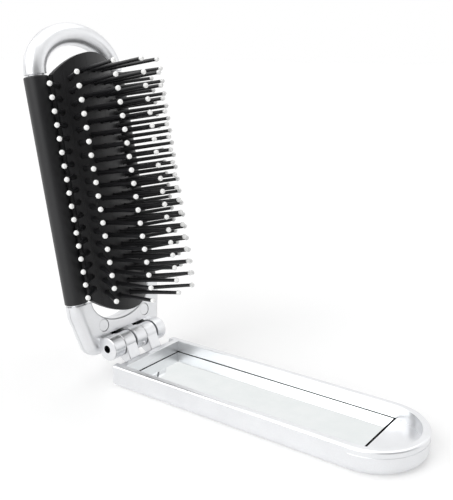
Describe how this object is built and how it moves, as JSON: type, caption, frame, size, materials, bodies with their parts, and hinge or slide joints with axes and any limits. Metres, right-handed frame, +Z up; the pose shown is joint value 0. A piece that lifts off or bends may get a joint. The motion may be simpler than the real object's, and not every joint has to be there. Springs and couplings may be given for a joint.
{
  "type": "folding hairbrush with mirror",
  "caption": "Pocket hairbrush with a flexible pad of ball-tipped pins in a looped frame, hinged to a slim tray lid that holds a mirror and folds over the pins.",
  "frame": {"origin": "on the ground, at the middle of the lid's flat underside", "axes": "+Z up; +X along the lid, away from the hinge; +Y along the hinge pin, to the left of someone looking along +X; the brush stands on its hinge, leaning back, with its pins towards +X"},
  "size_m": [0.1422, 0.0496, 0.1221],
  "materials": {
    "silver_plastic": "satin silver moulded plastic",
    "black_soft_plastic": "soft satin black, flexible",
    "white_tips": "smooth rounded beads on the pins",
    "mirror_glass": "silvered glass with cut edges",
    "steel_pin": "drawn wire",
    "foam_tape": "double-sided foam tape"
  },
  "bodies": {
    "lid": {"mirror_lid": "silver_plastic", "mirror_glass": "mirror_glass", "mirror_adhesive": "foam_tape"},
    "hinge_pin": {"hinge_pin": "steel_pin"},
    "brush_frame": {"frame_front_shell": "silver_plastic", "frame_back_shell": "silver_plastic", "left_joint_peg": "silver_plastic", "right_joint_peg": "silver_plastic"},
    "left_sleeve": {"left_sleeve": "black_soft_plastic"},
    "pin_row_1": {"pin_row_1": "black_soft_plastic"},
    "pin_row_2": {"pin_row_2": "black_soft_plastic"},
    "pin_row_3": {"pin_row_3": "black_soft_plastic"},
    "pin_row_4": {"pin_row_4": "black_soft_plastic"},
    "pin_row_5": {"pin_row_5": "black_soft_plastic"},
    "pin_row_6": {"pin_row_6": "black_soft_plastic"},
    "pin_row_7": {"pin_row_7": "black_soft_plastic"},
    "right_sleeve": {"right_sleeve": "black_soft_plastic"}
  },
  "joints": [
    {"name": "open_out", "type": "hinge", "parent": "lid", "child": "hinge_pin", "pos_m": [-0.05797, 0, 0.012], "axis": [0, 1, 0], "range_deg": [-79.4, 0]},
    {"name": "fold_shut", "type": "hinge", "parent": "hinge_pin", "child": "brush_frame", "pos_m": [-0.05797, 0, 0.012], "axis": [0, 1, 0], "range_deg": [0, 100.6]},
    {"name": "push_in_row_3", "type": "hinge", "parent": "brush_frame", "child": "pin_row_3", "pos_m": [-0.06545, -0.05085, 0.0106], "axis": [-0.184, 0, 0.9829], "range_deg": [0, 21.5]},
    {"name": "push_in_row_5", "type": "hinge", "parent": "brush_frame", "child": "pin_row_5", "pos_m": [-0.06545, 0.05085, 0.0106], "axis": [-0.184, 0, 0.9829], "range_deg": [-21.5, 0]},
    {"name": "push_in_row_2", "type": "hinge", "parent": "brush_frame", "child": "pin_row_2", "pos_m": [-0.06517, -0.02441, 0.01065], "axis": [-0.184, 0, 0.9829], "range_deg": [0, 48.4]},
    {"name": "push_in_row_6", "type": "hinge", "parent": "brush_frame", "child": "pin_row_6", "pos_m": [-0.06517, 0.02441, 0.01065], "axis": [-0.184, 0, 0.9829], "range_deg": [-48.4, 0]},
    {"name": "push_in_row_1", "type": "hinge", "parent": "brush_frame", "child": "pin_row_1", "pos_m": [-0.06474, -0.01785, 0.01073], "axis": [-0.184, 0, 0.9829], "range_deg": [0, 76.7]},
    {"name": "push_in_row_7", "type": "hinge", "parent": "brush_frame", "child": "pin_row_7", "pos_m": [-0.06474, 0.01785, 0.01073], "axis": [-0.184, 0, 0.9829], "range_deg": [-76.7, 0]},
    {"name": "left_sleeve_turn", "type": "hinge", "parent": "brush_frame", "child": "left_sleeve", "pos_m": [-0.06466, -0.0178, 0.01075], "axis": [-0.184, 0, 0.9829], "range_deg": [0, 70.8]},
    {"name": "right_sleeve_turn", "type": "hinge", "parent": "brush_frame", "child": "right_sleeve", "pos_m": [-0.06466, 0.0178, 0.01075], "axis": [-0.184, 0, 0.9829], "range_deg": [-70.8, 0]},
    {"name": "push_in_row_4", "type": "slide", "parent": "brush_frame", "child": "pin_row_4", "axis": [0.9829, 0, 0.184], "range_m": [-0.0187, 0]}
  ],
  "couplings": [
    {"joint": "push_in_row_3", "follows": "fold_shut", "ratio": 0.21184},
    {"joint": "push_in_row_5", "follows": "fold_shut", "ratio": -0.21184},
    {"joint": "push_in_row_2", "follows": "fold_shut", "ratio": 0.47984},
    {"joint": "push_in_row_6", "follows": "fold_shut", "ratio": -0.47984},
    {"joint": "push_in_row_1", "follows": "fold_shut", "ratio": 0.76129},
    {"joint": "push_in_row_7", "follows": "fold_shut", "ratio": -0.76129},
    {"joint": "left_sleeve_turn", "follows": "fold_shut", "ratio": 0.70241},
    {"joint": "right_sleeve_turn", "follows": "fold_shut", "ratio": -0.70241},
    {"joint": "push_in_row_4", "follows": "fold_shut", "m_per_rad": -0.010593}
  ]
}
